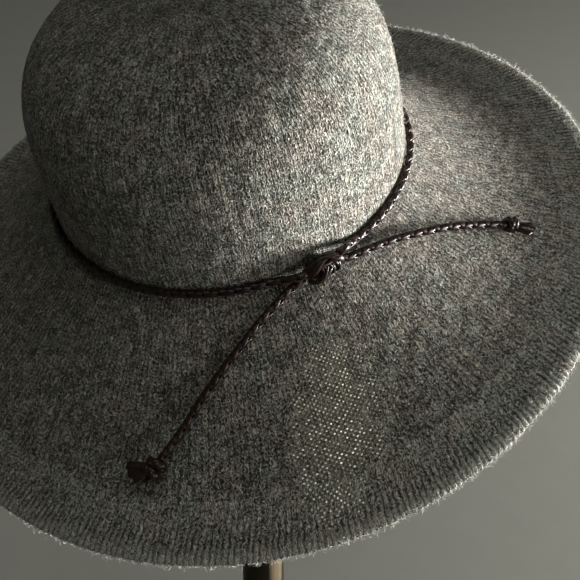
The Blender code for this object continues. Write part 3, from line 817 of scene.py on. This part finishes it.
def aged_bronze(name, stretch, painted_highlight):
    """Stained dark bronze with fine lines, and if asked a painted highlight along one side."""
    material, shader, start = new_material(name)
    shader.inputs["Metallic"].default_value = 1.0
    place = start.node("TexCoord", output=3)
    lines = start.noise(start.vector("MULTIPLY", place, stretch), 1 / DRAWN_LINE, 3.0, 0.6)
    stain = start.noise(place, 1 / STAIN_SIZE, 4.0, 0.6)
    level = (stain * 1.3 + lines * 0.7 - 0.80).limited()
    if painted_highlight:
        # Painted highlight: a warm bright band down the side of the post that faces that way, streaked by
        # the drawn lines, in place of the lamp's reflection.
        highlight_way = (math.cos(HIGHLIGHT_AZIMUTH) / POST_RADIUS, math.sin(HIGHLIGHT_AZIMUTH) / POST_RADIUS, 0.0)
        facing = start.vector("DOT_PRODUCT", place, highlight_way, "Value")
        level = (((facing - 0.90) * 12).limited() * (0.55 + lines * 0.9) + level * 0.15).limited()
    drive(start, shader,
          Base_Color=start.mixed(level, BRONZE_DARK, BRONZE_WARM),
          Roughness=0.24 + stain * 0.16 + lines * 0.12,
          Normal=start.node("Bump", {}, {"Strength": 0.25, "Distance": 0.0002, "Height": lines}))
    return material


def turned(name, profile, material, node, sides=128):
    """A piece of the stand turned round its axis from a profile of radius and height."""
    turns = np.arange(sides) * 2 * math.pi / sides
    profile = np.array(profile)
    grid = polar(turns[None, :], profile[:, :1], profile[:, 1:])
    faces = strip_faces(len(profile), sides)
    piece = dress(name, grid.reshape(-1, 3), faces, material, "stand_metal", [node], Matrix())
    piece.data.set_sharp_from_angle(angle=math.radians(50))


def rounded(radius, height, rounding, first, last, steps=7):
    """Points of a rounded edge between two angles in degrees."""
    angles = np.radians(np.linspace(first, last, steps))
    return [(radius - rounding + rounding * math.cos(a), height + rounding * math.sin(a)) for a in angles]


post_bronze = aged_bronze("post_bronze", (1.0, 1.0, 0.02), True)
foot_bronze = aged_bronze("foot_bronze", (1.0, 1.0, 1.0), False)
base = [(CENTRE_HOLE, BASE_THICKNESS)]
base += rounded(BASE_RADIUS, BASE_THICKNESS - BASE_EDGE, BASE_EDGE, 90, 0)
base += rounded(BASE_RADIUS, EDGE_ROUND, EDGE_ROUND, 0, -90, 4) + [(CENTRE_HOLE, 0.0)]
turned("stand_base_turned", base, foot_bronze, "stand_base")
cap_bottom = STAND_HEIGHT - CAP_DOME - CAP_THICKNESS
post_top, post_bottom = cap_bottom - CLEARANCE, BASE_THICKNESS + CLEARANCE
post = [(CENTRE_HOLE, post_top), (POST_RADIUS, post_top), (POST_RADIUS, post_bottom),
        (CENTRE_HOLE, post_bottom)]
turned("stand_post_drawn", post, post_bronze, "stand_post")
cap = [(max(CENTRE_HOLE, CAP_RADIUS * share), STAND_HEIGHT - CAP_DOME * share ** 2)
       for share in np.linspace(0, 0.94, 12)]
cap += rounded(CAP_RADIUS, cap_bottom + CAP_THICKNESS - CAP_SHOULDER, CAP_SHOULDER_ROUND, 70, 0)
cap += rounded(CAP_RADIUS, cap_bottom + EDGE_ROUND, EDGE_ROUND, 0, -90, 4) + [(CENTRE_HOLE, cap_bottom)]
turned("stand_cap_turned", cap, foot_bronze, "stand_cap")

# Floor and light. A pale floor that curves up far off into a plain wall, one large soft
# light low on the right and a little behind, and two weak ones, front right and above.
FLOOR_REACH, FLOOR_CURVE, WALL_TOP, FLOOR_SIDES, SPECK_SIZE = 4.0, 1.0, 4.0, 96, 0.025
FLOOR_DARK, FLOOR_PALE = (0.222, 0.226, 0.206, 1), (0.248, 0.252, 0.231, 1)

# Lamps. Columns: name, place, target, width and height, watts, colour, spread in degrees.
LAMPS = (
    ("window", (2.00, 0.27, 0.27), (0.0, 0.0, 0.50), (1.2, 0.4), 99.0, (1.0, 0.98, 0.925), 135.0),
    ("ceiling", (0.3, -0.4, 2.4), (0.0, 0.0, 0.50), (1.4, 1.4), 6.2, (1.0, 1.0, 0.88), 180.0),
    ("front", (1.82, -1.24, 0.75), (0.0, 0.0, 0.50), (1.4, 0.8), 12.5, (1.0, 1.0, 0.92), 180.0),
)

floor_material, floor_shader, ground = new_material("pale_floor", 0.85, 0.2)
speck = ground.noise(ground.node("TexCoord", output=3), 1 / SPECK_SIZE, 4.0)
drive(ground, floor_shader, Base_Color=ground.mixed(speck, FLOOR_DARK, FLOOR_PALE))
sweep = [(FLOOR_REACH + FLOOR_CURVE * math.sin(a), FLOOR_CURVE * (1 - math.cos(a)))
         for a in np.radians(np.linspace(0, 90, 13))]
sweep = np.array([(0.01, 0.0)] + sweep + [(FLOOR_REACH + FLOOR_CURVE, WALL_TOP)])
floor_turns = np.arange(FLOOR_SIDES) * 2 * math.pi / FLOOR_SIDES
floor_grid = polar(floor_turns, sweep[:, :1], sweep[:, 1:])
floor_faces = strip_faces(len(sweep), FLOOR_SIDES, False)[:, ::-1].tolist() + [list(range(FLOOR_SIDES))]
floor_mesh = bpy.data.meshes.new("floor")
floor_mesh.from_pydata(floor_grid.reshape(-1, 3).tolist(), [], floor_faces)
floor_mesh.shade_smooth()
floor_mesh.materials.append(floor_material)
floor = bpy.data.objects.new("floor", floor_mesh)
bpy.context.scene.collection.objects.link(floor)

for name, place, target, sizes, power, colour, spread in LAMPS:
    lamp = bpy.data.lights.new(name, "AREA")
    lamp.shape = "RECTANGLE"
    lamp.size, lamp.size_y = sizes
    lamp.energy, lamp.color = power, colour
    lamp.spread = math.radians(spread)
    holder = bpy.data.objects.new(name, lamp)
    holder.location = place
    holder.rotation_euler = (Vector(target) - Vector(place)).to_track_quat("-Z", "Y").to_euler()
    bpy.context.scene.collection.objects.link(holder)

world = bpy.data.worlds.new("studio")
world.use_nodes = True
sky = world.node_tree.nodes["Background"]
sky.inputs["Color"].default_value = (0.9, 0.95, 0.9, 1)
sky.inputs["Strength"].default_value = 0.022
bpy.context.scene.world = world
